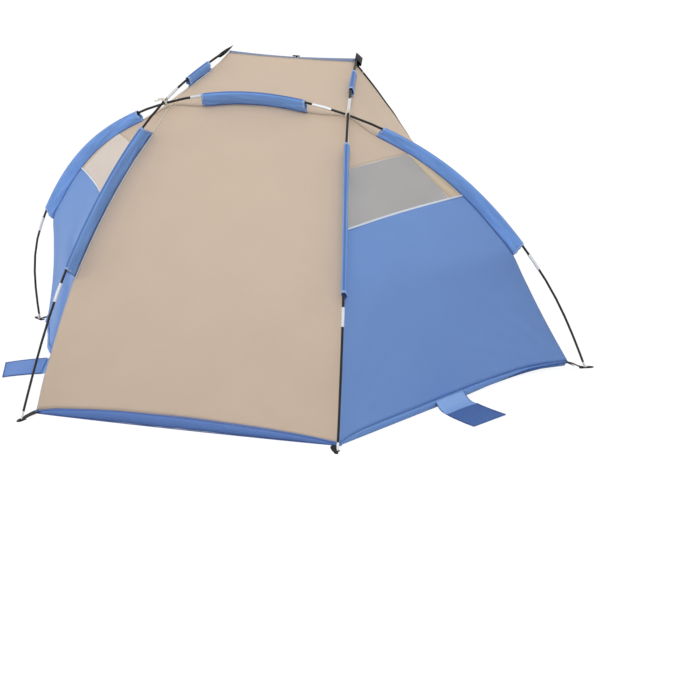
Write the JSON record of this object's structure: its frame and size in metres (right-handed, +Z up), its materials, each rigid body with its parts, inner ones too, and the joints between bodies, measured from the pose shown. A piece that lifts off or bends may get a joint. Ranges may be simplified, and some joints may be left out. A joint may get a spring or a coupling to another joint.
{
  "type": "beach tent",
  "caption": "Pitched beach tent with a tan rear and roof, blue side walls, mesh windows and pole sleeves, a crossed three-pole frame, foot straps and two sand pockets.",
  "frame": {"origin": "middle of the bounding box's base, on the ground", "axes": "+X to the right of someone who faces the open front, +Y from the open front to the rear panel, +Z up"},
  "size_m": [2.0616, 1.237, 1.0403],
  "materials": {
    "tan_polyester": "woven, matte",
    "blue_polyester": "woven, matte",
    "sleeve_blue": "woven, matte",
    "mesh_grey": "fine netting",
    "fibreglass_black": "smooth",
    "ferrule_silver": "satin",
    "pin_white": "bright",
    "cord_white": "braided cover",
    "tie_cream": "braided cord",
    "webbing_black": "woven webbing"
  },
  "bodies": {
    "tent": {"left_pole_1": "fibreglass_black", "left_pole_2": "fibreglass_black", "left_pole_3": "fibreglass_black", "left_pole_4": "fibreglass_black", "left_ferrule_1": "ferrule_silver", "left_ferrule_3": "ferrule_silver", "left_shock_cord": "cord_white", "right_pole_1": "fibreglass_black", "right_pole_2": "fibreglass_black", "right_pole_3": "fibreglass_black", "right_pole_4": "fibreglass_black", "right_ferrule_1": "ferrule_silver", "right_ferrule_3": "ferrule_silver", "right_shock_cord": "cord_white", "arch_pole_1": "fibreglass_black", "arch_pole_2": "fibreglass_black", "arch_pole_3": "fibreglass_black", "arch_pole_4": "fibreglass_black", "arch_pole_5": "fibreglass_black", "arch_pole_6": "fibreglass_black", "arch_pole_7": "fibreglass_black", "arch_ferrule_1": "ferrule_silver", "arch_ferrule_3": "ferrule_silver", "arch_ferrule_4": "ferrule_silver", "arch_ferrule_6": "ferrule_silver", "arch_shock_cord": "cord_white", "rear_left_foot_pin": "pin_white", "rear_right_foot_pin": "pin_white", "front_left_foot_pin": "pin_white", "front_right_foot_pin": "pin_white", "rear_left_corner_strap": "webbing_black", "rear_right_corner_strap": "webbing_black", "front_left_corner_strap": "webbing_black", "front_right_corner_strap": "webbing_black", "left_cross_tie": "tie_cream", "right_cross_tie": "tie_cream", "floor_sheet": "blue_polyester", "rear_panel": "tan_polyester", "roof_panel": "tan_polyester", "left_side_panel": "blue_polyester", "right_side_panel": "blue_polyester", "left_mesh_window": "mesh_grey", "right_mesh_window": "mesh_grey", "left_side_gusset": "tan_polyester", "right_side_gusset": "tan_polyester", "left_wing_panel": "tan_polyester", "right_wing_panel": "tan_polyester", "left_rear_sleeve": "sleeve_blue", "right_rear_sleeve": "sleeve_blue", "left_arch_sleeve": "sleeve_blue", "right_arch_sleeve": "sleeve_blue", "arch_top_sleeve": "sleeve_blue", "left_eave_sleeve": "sleeve_blue", "right_eave_sleeve": "sleeve_blue", "left_eave_pocket": "webbing_black", "right_eave_pocket": "webbing_black", "eave_hem": "blue_polyester"},
    "left_flap": {"left_sand_pocket": "blue_polyester"},
    "right_flap": {"right_sand_pocket": "blue_polyester"},
    "toggle": {"eave_toggle": "webbing_black"}
  },
  "joints": [
    {"name": "left_flap_hinge", "type": "hinge", "parent": "tent", "child": "left_flap", "pos_m": [-0.69562, -0.05941, 0.02411], "axis": [0.2962, 0.9551, -0.0035], "range_deg": [0, 90]},
    {"name": "right_flap_hinge", "type": "hinge", "parent": "tent", "child": "right_flap", "pos_m": [0.69562, -0.05941, 0.02411], "axis": [0.2962, -0.9551, 0.0035], "range_deg": [0, 90]},
    {"name": "toggle_hinge", "type": "hinge", "parent": "tent", "child": "toggle", "pos_m": [-0.02098, -0.45745, 1.0178], "axis": [1, 0, 0], "range_deg": [0, 160]}
  ]
}
